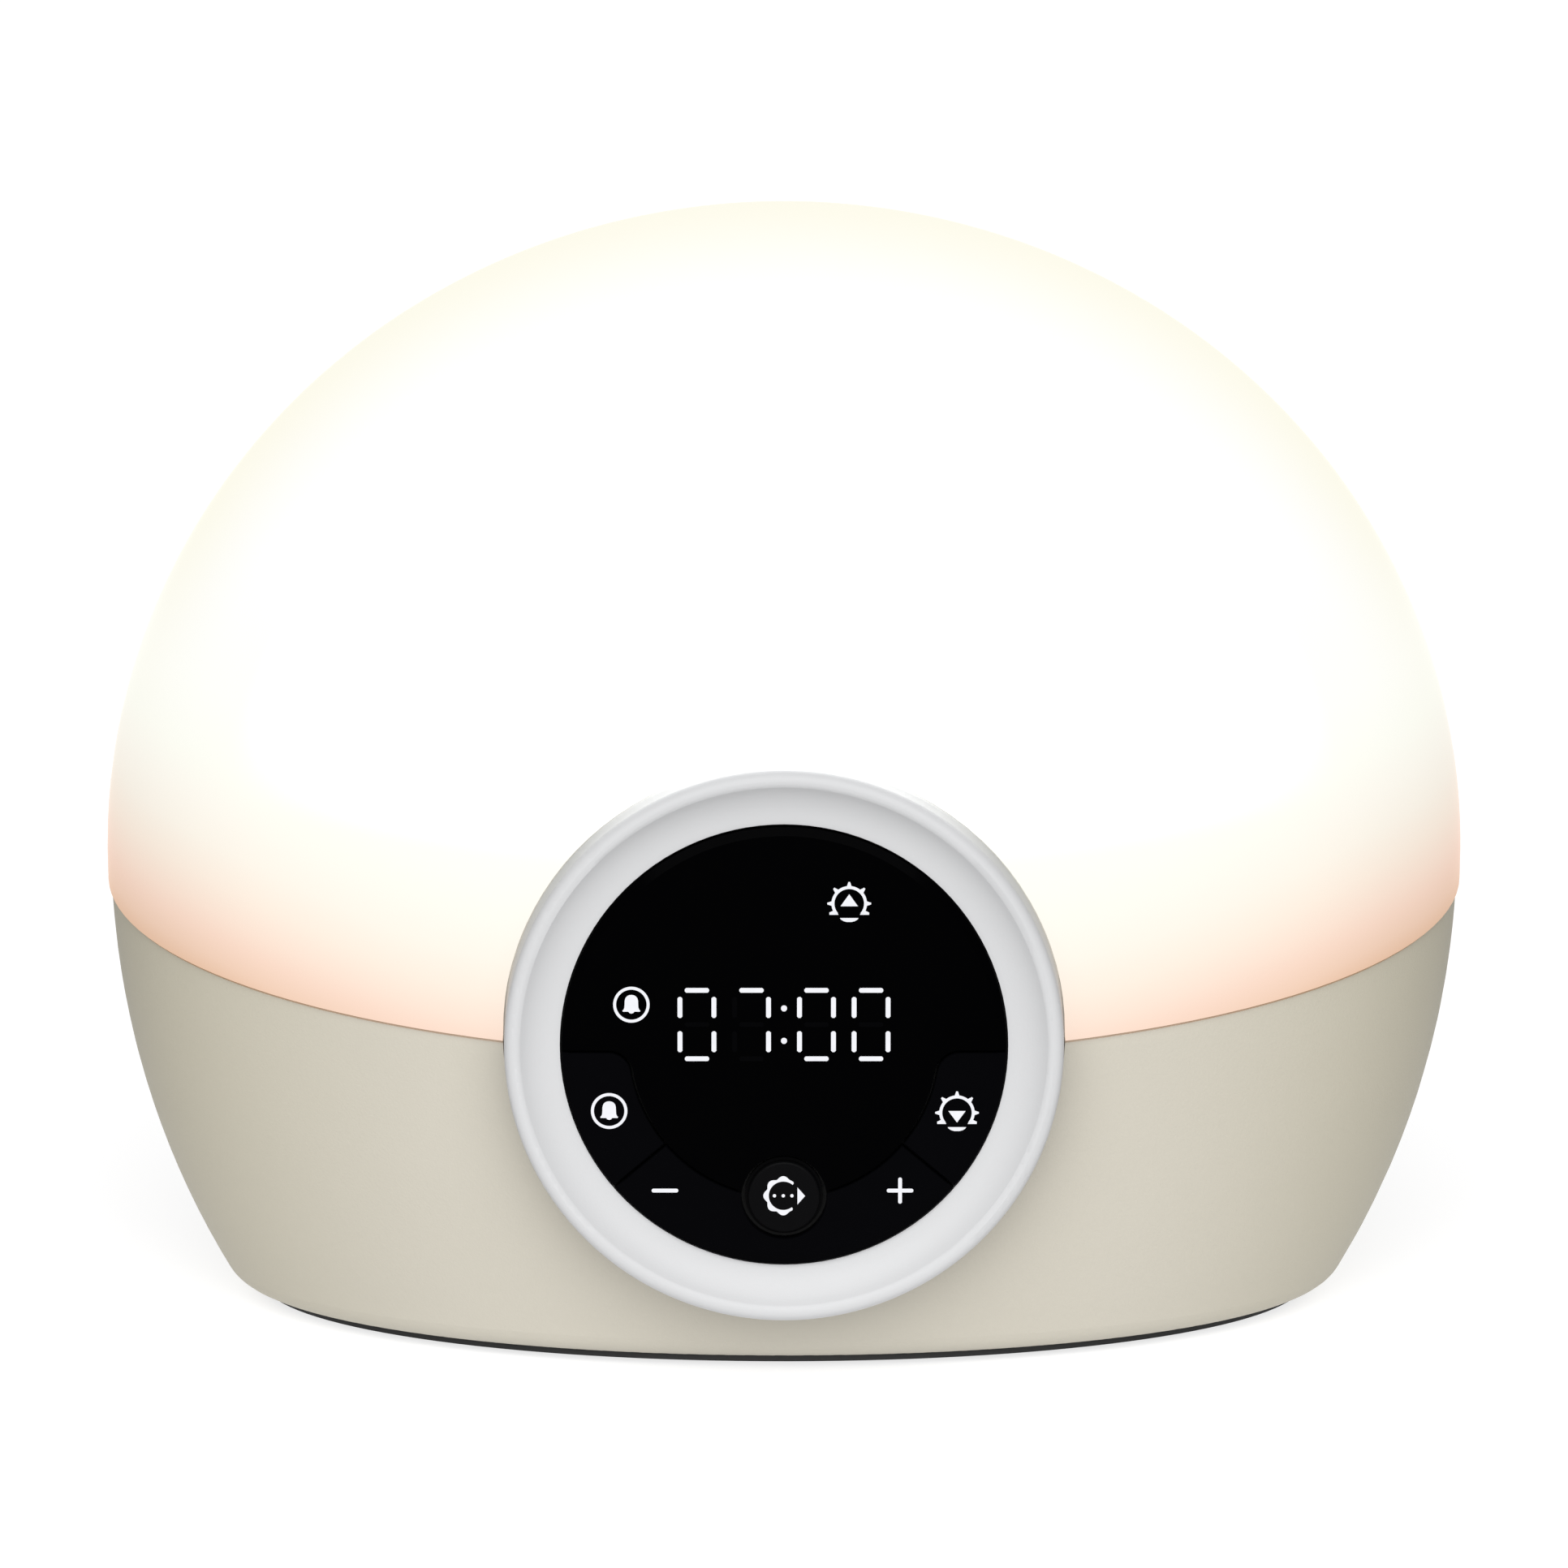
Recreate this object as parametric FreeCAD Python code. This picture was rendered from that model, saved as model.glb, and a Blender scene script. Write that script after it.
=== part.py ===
import FreeCAD, Part
import math
import os
from FreeCAD import Vector as V

os.makedirs("parts", exist_ok=True)

# Sunrise alarm clock, in millimetres, +Z up, front toward -Y.
# Y is counted from the egg's own axis here and moved to the middle of the depth on export.

# Driving dimensions: outer form
HALF_W = 100.0
HALF_D = 70.0
WIDEST_Z = 66.64
RISE = 95.33
DROP = 112.65
WALL = 2.5
LIP = 0.5
SHELL_FLOOR = 1.8
FLOOR_ROUND = 6.0
BACK_Y = HALF_D * 5 / 7
RIM_Y = BACK_Y - 4.0
SEAM_Z = 62.73
SEAM_SLOPE = 0.2144
SEAM_GAP = 0.5

# Driving dimensions: front panel, seen along Y about its centre
PANEL_Z = 50.33
RING_FRONT = -(HALF_D + 3.5)
RING_BACK = RING_FRONT + 19.3
RING_R = 39.45
RING_ROOT_R = 39.75
RIM_INNER_R = 37.15
FLANGE = 1.5
SHIELD_ROOM_R = RING_ROOT_R + 2.35
SHIELD_WALL = 1.5
DISC_R = 31.3
DISC_FACE = RING_FRONT + 1.1
DISC_THICK = 2.2
BEVEL_W = 1.2
BEVEL_D = 0.55
KEY_GAP = 0.35
KEY_ARC_R = 21.7
KEY_TOP_Z = -0.7
KEY_CORNER_R = 3.4
DIVIDER_DEG = 40.0
SNOOZE_Z = -21.6
SNOOZE_R = 5.1
RECESS_R = 6.0
SIDE_KEY = (24.5, -9.25)
END_KEY = (16.6, -20.65)
KEY_TRAVEL = 0.5
CARRIER_FRONT = DISC_FACE + DISC_THICK + 2 * KEY_TRAVEL
CARRIER_BACK = CARRIER_FRONT + 2.0
PCB_FRONT = CARRIER_BACK + 4.2
PCB_THICK = 1.6

# Driving dimensions: time display
DIGIT_X = (-12.25, -4.57, 4.57, 12.25)
DIGIT_Z = 3.2
BAR_PITCH = 4.9
BAR_LONG = 3.42
POST_LONG = 3.0
POST_X = 2.39
BAR_THICK = 0.68
INLAY_DEEP = 0.3

# Driving dimensions: base and power board
PLATE_UNDER = 0.8
PLATE_HALF_W = HALF_W - 22.5
PLUG_HALF_W = PLATE_HALF_W - 7.9
PLUG_TOP = 3.6
BOARD_Z = 12.0
JACK_X = -30.0
JACK_Z = 19.6
JACK_PIN_R = 1.05
JACK_BORE_R = 3.15
SPEAKER_X = 26.0
SPEAKER_Z = 34.0
SPEAKER_R = 18.0
WIRE_BEND = 4.0

# Clearances
FIT = 0.1
PIN_FIT = 0.06
SLACK = 0.4

FAR = 2 * HALF_W
SHIFT_Y = -(RING_FRONT + BACK_Y) / 2
SQUEEZE = HALF_D / HALF_W
SEAM_TILT = math.degrees(math.atan(SEAM_SLOPE))
PCB_BACK = PCB_FRONT + PCB_THICK
DISC_BACK = DISC_FACE + DISC_THICK


def save(name, *solids):
    """Write one named piece, or one group of alike solids, in the final frame."""
    shape = solids[0] if len(solids) == 1 else Part.makeCompound(list(solids))
    shape = shape.copy()
    shape.translate(V(0, SHIFT_Y, 0))
    shape.exportStep("parts/" + name + ".step")
    print(name, len(shape.Solids), shape.isValid(), round(shape.Volume, 1))


def box(x0, x1, y0, y1, z0, z1):
    """Box between two corners."""
    return Part.makeBox(x1 - x0, y1 - y0, z1 - z0, V(x0, y0, z0))


def rod_y(r, y0, y1, x=0.0, z=0.0):
    """Cylinder along Y; z is counted from the panel's centre."""
    return Part.makeCylinder(r, y1 - y0, V(x, y0, PANEL_Z + z), V(0, 1, 0))


def rod_z(r, z0, z1, x=0.0, y=0.0):
    """Upright cylinder."""
    return Part.makeCylinder(r, z1 - z0, V(x, y, z0))


def on_circle(r, degrees):
    """Point on a circle about the panel's centre."""
    return r * math.cos(math.radians(degrees)), r * math.sin(math.radians(degrees))


def fuse(first, *others):
    """Join overlapping solids and drop the leftover seams."""
    return first.multiFuse(list(others)).removeSplitter()


def quarter(start, corner, end):
    """Exact quarter ellipse that is tangent to the two sides of its corner."""
    curve = Part.BSplineCurve()
    weights = [1.0, math.sqrt(0.5), 1.0]
    curve.buildFromPolesMultsKnots([start, corner, end], [3, 3], [0, 1], False, 2, weights)
    return curve


def egg(inset, floor):
    """The outer form, drawn in by inset: two quarter ellipses and a rounded floor, spun and squeezed."""
    a = HALF_W - inset
    up = quarter(V(a, 0, WIDEST_Z), V(a, 0, WIDEST_Z + RISE - inset), V(0, 0, WIDEST_Z + RISE - inset))
    low_z = WIDEST_Z - DROP + inset
    down = quarter(V(a, 0, WIDEST_Z), V(a, 0, low_z), V(0, 0, low_z))
    radius = max(FLOOR_ROUND - inset, 1.0)
    low, high = 0.0, 1.0
    for _ in range(60):
        u = (low + high) / 2
        point = down.value(u)
        along = down.tangent(u)[0]
        inward = V(along.z, 0, -along.x)
        centre = point + inward * radius
        if centre.z > floor + radius:
            low = u
        else:
            high = u
    flat = V(centre.x, 0, floor)
    middle = ((point - centre).normalize() + V(0, 0, -1)).normalize() * radius + centre
    edges = [
        Part.makeLine(V(0, 0, floor), flat),
        Part.Arc(flat, middle, point).toShape(),
        down.toShape(0, u),
        up.toShape(),
        Part.makeLine(V(0, 0, WIDEST_Z + RISE - inset), V(0, 0, floor)),
    ]
    face = Part.Face(Part.Wire(Part.__sortEdges__(edges)))
    solid = face.revolve(V(0, 0, 0), V(0, 0, 1), 360)
    squeeze = FreeCAD.Matrix()
    squeeze.scale(1, (HALF_D - inset) / a, 1)
    return Part.Solid(solid.transformGeometry(squeeze))


def tilt(shape, drop=0.0):
    """Lay a shape drawn on Z = 0 onto the seam plane, drop below it."""
    shape = shape.copy()
    shape.translate(V(0, 0, -drop))
    shape.rotate(V(0, 0, 0), V(1, 0, 0), SEAM_TILT)
    shape.translate(V(0, 0, SEAM_Z))
    return shape


def above(drop):
    """Everything over a plane that lies drop below the seam."""
    return tilt(box(-FAR, FAR, -FAR, FAR, 0, FAR), drop)


def below(drop):
    """Everything under a plane that lies drop below the seam."""
    return tilt(box(-FAR, FAR, -FAR, FAR, -FAR, 0), drop)


def turned(points):
    """Spin (radius, y) points about the panel's axis."""
    ring = [V(r, y, PANEL_Z) for r, y in points]
    face = Part.Face(Part.makePolygon(ring + ring[:1]))
    return face.revolve(V(0, 0, PANEL_Z), V(0, 1, 0), 360)


def screw(head_r, head_h, shank_r, length):
    """Pan-head screw with a cross recess, head up and its seat on Z = 0."""
    head = Part.makeCylinder(head_r, head_h)
    head = head.makeFillet(head_h * 0.45, [e for e in head.Edges if e.BoundBox.ZMin > head_h - 0.01])
    slot = head_r * 0.22
    reach = head_r * 0.62
    for long_x, long_y in ((reach, slot), (slot, reach)):
        head = head.cut(box(-long_x, long_x, -long_y, long_y, head_h * 0.45, head_h + 1))
    shank = Part.makeCylinder(shank_r, length, V(0, 0, -length))
    return fuse(head, shank)


def placed(shape, x, y, z, axis=(0, 0, 1)):
    """Copy of a shape with its +Z turned to axis and its origin moved."""
    copy = shape.copy()
    turn = FreeCAD.Rotation(V(0, 0, 1), V(*axis))
    copy.Placement = FreeCAD.Placement(V(x, y, z), turn).multiply(copy.Placement)
    return copy


def oval(half_w, z0, z1):
    """Upright oval prism with the egg's plan shape."""
    squeeze = FreeCAD.Matrix()
    squeeze.scale(1, SQUEEZE, 1)
    return Part.Solid(rod_z(half_w, z0, z1).transformGeometry(squeeze))


def wire_run(points, radius):
    """Round wire along straight runs, with a rounded bend at every corner."""
    points = [V(*p) for p in points]
    edges = []
    start = points[0]
    for before, corner, after in zip(points, points[1:], points[2:]):
        back = (before - corner).normalize()
        ahead = (after - corner).normalize()
        half_turn = (math.pi - back.getAngle(ahead)) / 2
        room = 0.45 * min((before - corner).Length, (after - corner).Length)
        trim = min(WIRE_BEND * math.tan(half_turn), room)
        bend_r = trim / math.tan(half_turn)
        inward = (back + ahead).normalize()
        middle = corner + inward * (bend_r / math.cos(half_turn) - bend_r)
        bend_start = corner + back * trim
        bend_end = corner + ahead * trim
        edges.append(Part.makeLine(start, bend_start))
        edges.append(Part.Arc(bend_start, middle, bend_end).toShape())
        start = bend_end
    edges.append(Part.makeLine(start, points[-1]))
    rim = Part.Wire(Part.makeCircle(radius, points[0], points[1] - points[0]))
    return Part.Solid(Part.Wire(edges).makePipe(Part.Face(rim)))


# Outer shells
front_part = box(-FAR, FAR, -FAR, RIM_Y, -10, FAR)
ring_hole = rod_y(RING_ROOT_R + 0.12, -FAR, RING_BACK + 14)
outer_dome = egg(0.0, SHELL_FLOOR)
outer_base = egg(LIP, SHELL_FLOOR)
dome_room = egg(WALL, SHELL_FLOOR + WALL)
base_room = egg(LIP + WALL, SHELL_FLOOR + WALL)

cover_screws_at = [(s * x, z) for s in (-1, 1) for x, z in ((0.46 * HALF_W, 20.0), (0.42 * HALF_W, 110.0))]
dome = outer_dome.cut(dome_room).common(front_part).common(above(-SEAM_GAP / 2)).cut(ring_hole)
base = outer_base.cut(base_room).common(front_part).common(below(SEAM_GAP / 2)).cut(ring_hole)

for x, z in cover_screws_at:
    post = Part.makeCylinder(4.5, 22, V(x, RIM_Y - 22, z), V(0, 1, 0))
    rib = box(min(x, x * 1.6), max(x, x * 1.6), RIM_Y - 22, RIM_Y, z - 1.2, z + 1.2)
    pilot = Part.makeCylinder(1.35, 14, V(x, RIM_Y - 14, z), V(0, 1, 0))
    if z > SEAM_Z:
        dome = fuse(dome, post, rib.common(egg(0.6, SHELL_FLOOR))).cut(pilot)
    else:
        base = fuse(base, post, rib.common(egg(LIP + 0.6, SHELL_FLOOR))).cut(pilot)

deck_screws_at = [(s * (HALF_W - 17.0), y) for s in (-1, 1) for y in (-14.0, 16.0)]
DECK_TOP = 4.0
DECK_THICK = 2.0
deck_pilots = [tilt(rod_z(1.35, -12, 1, x, y), DECK_TOP + DECK_THICK) for x, y in deck_screws_at]
post_room = egg(LIP + 1.0, SHELL_FLOOR).common(below(DECK_TOP + DECK_THICK))
base_posts = [rod_z(4.0, 16, 70, x, y * 0.98).common(post_room) for x, y in deck_screws_at]
base = fuse(base, *base_posts)
for pilot in deck_pilots:
    base = base.cut(pilot)

ring_ears_at = [(s * (RING_ROOT_R + 3.65), PANEL_Z - 10.8) for s in (-1, 1)]
for x, z in ring_ears_at:
    post = Part.makeCylinder(3.2, RING_BACK - FLANGE - RING_FRONT, V(x, RING_FRONT, z), V(0, 1, 0))
    post = post.common(egg(LIP + 0.6, SHELL_FLOOR)).cut(ring_hole)
    base = fuse(base, post)
    base = base.cut(Part.makeCylinder(1.05, 3.0, V(x, RING_BACK - FLANGE - 3.0, z), V(0, 1, 0)))

base = base.cut(oval(PLUG_HALF_W + 0.3, 0, SHELL_FLOOR + WALL + 1))
plate_screws_at = [(sx * 0.62 * HALF_W, sy * 0.2 * HALF_D) for sx in (-1, 1) for sy in (-1, 1)]
save("dome_diffuser", dome)

# Ledges inside the base floor that take the bottom plate's screws
for x, y in plate_screws_at:
    ledge = box(min(x, x * 1.28), max(x, x * 1.28), y - 4, y + 4, PLUG_TOP + FIT, PLUG_TOP + 5)
    lug = rod_z(4.0, PLUG_TOP + FIT, PLUG_TOP + 5, x, y)
    base = fuse(base, ledge.common(egg(LIP + 1.0, SHELL_FLOOR)), lug)
    base = base.cut(rod_z(1.35, PLUG_TOP, PLUG_TOP + 4.2, x, y))
save("base_shell", base)

gasket = egg(LIP + WALL + FIT, 5.0).cut(egg(LIP + WALL + 1.3, 5.0))
gasket = gasket.common(above(2.2)).common(below(-2.2)).common(front_part)
gasket = gasket.cut(rod_y(SHIELD_ROOM_R + SHIELD_WALL + SLACK, -FAR, RING_BACK + 14))
save("seam_gasket_strips", gasket)

# Rear cover: a dished back with feet for the screws, vents, sound slots and the power inlet hole
cover_zone = box(-FAR, FAR, RIM_Y + FIT, BACK_Y, -10, FAR)
cover = outer_base.common(cover_zone)
back_edge = [e for e in cover.Edges if e.BoundBox.YMin > BACK_Y - 0.01]
cover = cover.makeFillet(2.2, back_edge)
pocket = egg(LIP + WALL, SHELL_FLOOR + WALL).common(box(-FAR, FAR, 0, BACK_Y - WALL, -10, FAR))
for x, z in cover_screws_at:
    pocket = pocket.cut(Part.makeCylinder(4.5, 30, V(x, RIM_Y - 5, z), V(0, 1, 0)))
cover = cover.cut(pocket)
for x, z in cover_screws_at:
    cover = cover.cut(Part.makeCylinder(1.6, 10, V(x, RIM_Y - 1, z), V(0, 1, 0)))
    cover = cover.cut(Part.makeCylinder(3.3, 5, V(x, BACK_Y - 1.9, z), V(0, 1, 0)))
for row in range(7):
    z = SPEAKER_Z + (row - 3) * 4.0
    half = math.sqrt((SPEAKER_R - 3.5) ** 2 - (z - SPEAKER_Z) ** 2)
    slot = box(SPEAKER_X - half, SPEAKER_X + half, RIM_Y, FAR, z - 0.8, z + 0.8)
    cover = cover.cut(slot)
for column in range(-6, 7):
    cover = cover.cut(box(column * 5.0 - 0.9, column * 5.0 + 0.9, RIM_Y, FAR, 112, 122))
cover = cover.cut(Part.makeCylinder(5.6, 20, V(JACK_X, RIM_Y - 5, JACK_Z), V(0, 1, 0)))
save("rear_cover", cover)
cover_screw = screw(2.8, 1.7, 1.25, 12.0)
save("rear_cover_screws", *[placed(cover_screw, x, BACK_Y - 1.9, z, (0, 1, 0)) for x, z in cover_screws_at])

# Bottom plate with four rubber feet, vents and posts for the power board
inside_rim = box(-FAR, FAR, -FAR, RIM_Y - 0.2, -10, FAR)
plate = oval(PLATE_HALF_W, PLATE_UNDER, SHELL_FLOOR).common(inside_rim)
plate = fuse(plate, oval(PLUG_HALF_W, PLATE_UNDER, PLUG_TOP).common(box(-FAR, FAR, -FAR, RIM_Y - 3, -10, 30)))
feet_at = [(sx * 0.48 * HALF_W, y * HALF_D) for sx in (-1, 1) for y in (-0.37, 0.43)]
FOOT_R = 6.0
board_screws_at = [(sx * 45.0, sy * 23.0) for sx in (-1, 1) for sy in (-1, 1)]
for x, y in feet_at:
    plate = plate.cut(rod_z(FOOT_R + 0.15, 0, PLATE_UNDER + 0.8, x, y))
for x, y in board_screws_at:
    plate = fuse(plate, rod_z(3.0, PLUG_TOP - 1, BOARD_Z, x, y))
    plate = plate.cut(rod_z(1.1, PLUG_TOP, BOARD_Z + 1, x, y))
for x, y in plate_screws_at:
    plate = plate.cut(rod_z(1.6, 0, 10, x, y)).cut(rod_z(3.2, 0, PLATE_UNDER + 1.4, x, y))
for row in range(-3, 4):
    plate = plate.cut(box(-14, 14, row * 4.0 - 0.8, row * 4.0 + 0.8, 0, 6))
save("bottom_plate", plate)
plate_screw = screw(2.7, 1.2, 1.25, 5.3)
plate_screws = [placed(plate_screw, x, y, PLATE_UNDER + 1.4, (0, 0, -1)) for x, y in plate_screws_at]
save("bottom_plate_screws", *plate_screws)
foot = rod_z(FOOT_R, 0, PLATE_UNDER + 0.8)
foot = foot.makeFillet(0.3, [e for e in foot.Edges if e.BoundBox.ZMax < 0.01])
save("rubber_feet", *[placed(foot, x, y, 0) for x, y in feet_at])

# Bezel ring: rounded rim, shallow dish, back flange with two ears
crest = V(RING_R - 1.4, RING_FRONT, PANEL_Z)
shoulder = V(RING_R, RING_FRONT + 1.5, PANEL_Z)
bend = V(RING_R - 0.42, RING_FRONT + 0.45, PANEL_Z)
dish_in = V(DISC_R + 0.3, RING_FRONT + 2.25, PANEL_Z)
dish_mid = V((DISC_R + RIM_INNER_R) / 2 + 0.8, RING_FRONT + 1.7, PANEL_Z)
dish_out = V(RIM_INNER_R, RING_FRONT + 0.25, PANEL_Z)
rim_mid = V(RIM_INNER_R + 0.35, RING_FRONT + 0.05, PANEL_Z)
back_path = [shoulder] + [
    V(r, y, PANEL_Z)
    for r, y in (
        (RING_ROOT_R, RING_BACK - FLANGE),
        (RING_ROOT_R + 1.55, RING_BACK - FLANGE),
        (RING_ROOT_R + 1.55, RING_BACK),
        (RING_ROOT_R - 2.05, RING_BACK),
        (RING_ROOT_R - 2.05, CARRIER_FRONT - FIT),
        (DISC_R + 0.3, CARRIER_FRONT - FIT),
    )
] + [dish_in]
ring_edges = [
    Part.Arc(dish_in, dish_mid, dish_out).toShape(),
    Part.Arc(dish_out, rim_mid, crest).toShape(),
    Part.Arc(crest, bend, shoulder).toShape(),
]
ring_edges += [Part.makeLine(p, q) for p, q in zip(back_path, back_path[1:])]
ring_face = Part.Face(Part.Wire(Part.__sortEdges__(ring_edges)))
ring = ring_face.revolve(V(0, 0, PANEL_Z), V(0, 1, 0), 360)
ring = Part.Solid(ring) if ring.ShapeType != "Solid" else ring
for x, z in ring_ears_at:
    lug = Part.makeCylinder(3.2, FLANGE, V(x, RING_BACK - FLANGE, z), V(0, 1, 0))
    inner = V(x * 0.92, RING_BACK - FLANGE, PANEL_Z + (z - PANEL_Z) * 0.92)
    web = Part.makeCylinder(3.0, FLANGE, inner, V(0, 1, 0))
    ring_inside = rod_y(RING_ROOT_R - 1.5, RING_FRONT, RING_BACK + 1)
    ring = fuse(ring, lug.cut(ring_inside), web.cut(ring_inside))
    ring = ring.cut(Part.makeCylinder(1.3, 4, V(x, RING_BACK - 3, z), V(0, 1, 0)))
carrier_screws_at = [on_circle(34.4, a) for a in (0, 90, 180, 255, 285)]
for x, z in carrier_screws_at:
    ring = ring.cut(rod_y(1.1, CARRIER_FRONT - 1.5, CARRIER_FRONT + 1, x, z))
save("bezel_ring", ring)
ear_screw = screw(2.4, 1.4, 0.95, 4.3)
save("bezel_screws", *[placed(ear_screw, x, RING_BACK, z, (0, 1, 0)) for x, z in ring_ears_at])

# Black disc: lens above, key band below
disc = turned([
    (0, DISC_FACE),
    (DISC_R - BEVEL_W, DISC_FACE),
    (DISC_R, DISC_FACE + BEVEL_D),
    (DISC_R, DISC_BACK),
    (0, DISC_BACK),
])


def key_band(grow):
    """Prism through the lower band, outside the arc, with its two top inner corners rounded."""
    top = KEY_TOP_Z + grow
    arc = KEY_ARC_R - grow
    band = box(-50, 50, DISC_FACE - 2, DISC_BACK + 2, PANEL_Z - 50, PANEL_Z + top)
    band = band.cut(rod_y(arc, DISC_FACE - 3, DISC_BACK + 3))
    reach = math.sqrt(arc ** 2 - top ** 2)
    corners = [
        e for e in band.Edges
        if abs(abs(e.CenterOfMass.x) - reach) < 0.05 and abs(e.CenterOfMass.z - PANEL_Z - top) < 0.05
    ]
    return band.makeFillet(KEY_CORNER_R + grow, corners)


lens = disc.cut(key_band(KEY_GAP / 2))
recess = rod_y(RECESS_R, DISC_FACE - 3, DISC_BACK + 3, 0, SNOOZE_Z)
lens = lens.cut(recess)
caps = disc.common(key_band(-KEY_GAP / 2)).cut(recess)
for side in (-1, 1):
    slit = box(0, 50, DISC_FACE - 2, DISC_BACK + 2, PANEL_Z - KEY_GAP / 2, PANEL_Z + KEY_GAP / 2)
    slit.rotate(V(0, 0, PANEL_Z), V(0, 1, 0), DIVIDER_DEG if side > 0 else 180 - DIVIDER_DEG)
    caps = caps.cut(slit)
caps = sorted(caps.Solids, key=lambda s: s.CenterOfMass.x)
print("key caps", len(caps))


def soft(cap):
    """Break the front edges of one key cap."""
    front = [e for e in cap.Edges if abs(e.BoundBox.YMin - DISC_FACE) < 0.01 and e.BoundBox.YLength < 0.01]
    return cap.makeChamfer(0.12, front)


STEM_R = 1.8
stem_end = CARRIER_BACK
alarm_key = fuse(soft(caps[0]), rod_y(STEM_R, DISC_BACK - 0.5, stem_end, -SIDE_KEY[0], SIDE_KEY[1]))
light_key = fuse(soft(caps[2]), rod_y(STEM_R, DISC_BACK - 0.5, stem_end, SIDE_KEY[0], SIDE_KEY[1]))
rocker_stems = [rod_y(STEM_R, DISC_BACK - 0.5, stem_end, s * END_KEY[0], END_KEY[1]) for s in (-1, 1)]
PIVOT_Y = (CARRIER_FRONT + CARRIER_BACK) / 2
PIVOT_Z = -29.4
lug_half = 1.2
pivot_at = PANEL_Z + PIVOT_Z
rocker_lug = box(-1.5, 1.5, DISC_BACK - 0.5, CARRIER_BACK, pivot_at - lug_half, pivot_at + lug_half)
rocker = fuse(soft(caps[1]), *rocker_stems, rocker_lug)
PIN_R = 0.5
rocker = rocker.cut(rod_z(PIN_R, PANEL_Z - 40, PANEL_Z - 20, 0, PIVOT_Y))
pivot_pin = rod_z(PIN_R, pivot_at - 4.2, pivot_at + 3.0, 0, PIVOT_Y)
save("alarm_key", alarm_key)
save("light_key", light_key)
save("minus_plus_rocker", rocker)
save("rocker_pivot_pin", pivot_pin)

snooze = rod_y(SNOOZE_R, DISC_FACE, DISC_BACK, 0, SNOOZE_Z)
snooze = snooze.makeFillet(0.35, [e for e in snooze.Edges if abs(e.BoundBox.YMax - DISC_FACE) < 0.01])
snooze = fuse(snooze, rod_y(SNOOZE_R + 0.4, DISC_BACK - 0.7, DISC_BACK, 0, SNOOZE_Z))
snooze = fuse(snooze, rod_y(STEM_R, DISC_BACK - 0.5, stem_end, 0, SNOOZE_Z))
save("snooze_button", snooze)

# Tactile switches: one body under each mark, plungers ride with the keys
switches_at = [
    (-SIDE_KEY[0], SIDE_KEY[1]),
    (SIDE_KEY[0], SIDE_KEY[1]),
    (-END_KEY[0], END_KEY[1]),
    (END_KEY[0], END_KEY[1]),
    (0, SNOOZE_Z),
]
SWITCH_TOP = PCB_FRONT - 3.3
PLUNGER_R = 1.6
PLUNGER_IN = 1.3
well_floor = SWITCH_TOP + PLUNGER_IN + 2 * KEY_TRAVEL
bodies = []
for x, z in switches_at:
    body = box(x - 3, x + 3, SWITCH_TOP, PCB_FRONT, PANEL_Z + z - 3, PANEL_Z + z + 3)
    bodies.append(body.cut(rod_y(PLUNGER_R + SLACK, SWITCH_TOP - 1, well_floor, x, z)))
save("tact_switch_bodies", *bodies)
plungers = [rod_y(PLUNGER_R, stem_end, SWITCH_TOP + PLUNGER_IN, x, z) for x, z in switches_at]
save("alarm_switch_plunger", plungers[0])
save("light_switch_plunger", plungers[1])
save("rocker_switch_plungers", plungers[2], plungers[3])
save("snooze_switch_plunger", plungers[4])

# Time display
lit_pattern = ("abcdef", "abc", "abcdef", "abcdef")


def bar(name, x, grow=0.0, y0=DISC_FACE, y1=DISC_FACE + INLAY_DEEP):
    """One of the seven bars of a digit whose centre is at x."""
    level = {"a": 1, "g": 0, "d": -1}
    post = {"b": (1, 0.5), "c": (1, -0.5), "e": (-1, -0.5), "f": (-1, 0.5)}
    if name in level:
        cx, cz = x, DIGIT_Z + level[name] * BAR_PITCH
        hx, hz = BAR_LONG / 2, BAR_THICK / 2
    else:
        cx, cz = x + post[name][0] * POST_X, DIGIT_Z + post[name][1] * BAR_PITCH
        hx, hz = BAR_THICK / 2, POST_LONG / 2
    hx, hz = hx + grow, hz + grow
    cut = BAR_THICK * 0.3
    corners = (
        (-hx, cut - hz), (cut - hx, -hz), (hx - cut, -hz), (hx, cut - hz),
        (hx, hz - cut), (hx - cut, hz), (cut - hx, hz), (-hx, hz - cut),
    )
    points = [V(cx + px, y0, PANEL_Z + cz + pz) for px, pz in corners]
    return Part.Face(Part.makePolygon(points + points[:1])).extrude(V(0, y1 - y0, 0))


lit = [bar(n, x) for x, names in zip(DIGIT_X, lit_pattern) for n in names]
dark = [bar(n, x) for x, names in zip(DIGIT_X, lit_pattern) for n in "abcdefg" if n not in names]
colon = [rod_y(0.42, DISC_FACE, DISC_FACE + INLAY_DEEP, 0, z) for z in (0.85, 5.5)]
save("digit_segments_lit", *lit)
save("digit_segments_dark", *dark)
save("colon_dots", *colon)
for piece in lit + dark:
    lens = lens.cut(piece)
for z in (0.85, 5.5):
    lens = lens.cut(rod_y(0.45, DISC_FACE - 1, DISC_FACE + INLAY_DEEP, 0, z))
save("display_lens", lens)

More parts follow.
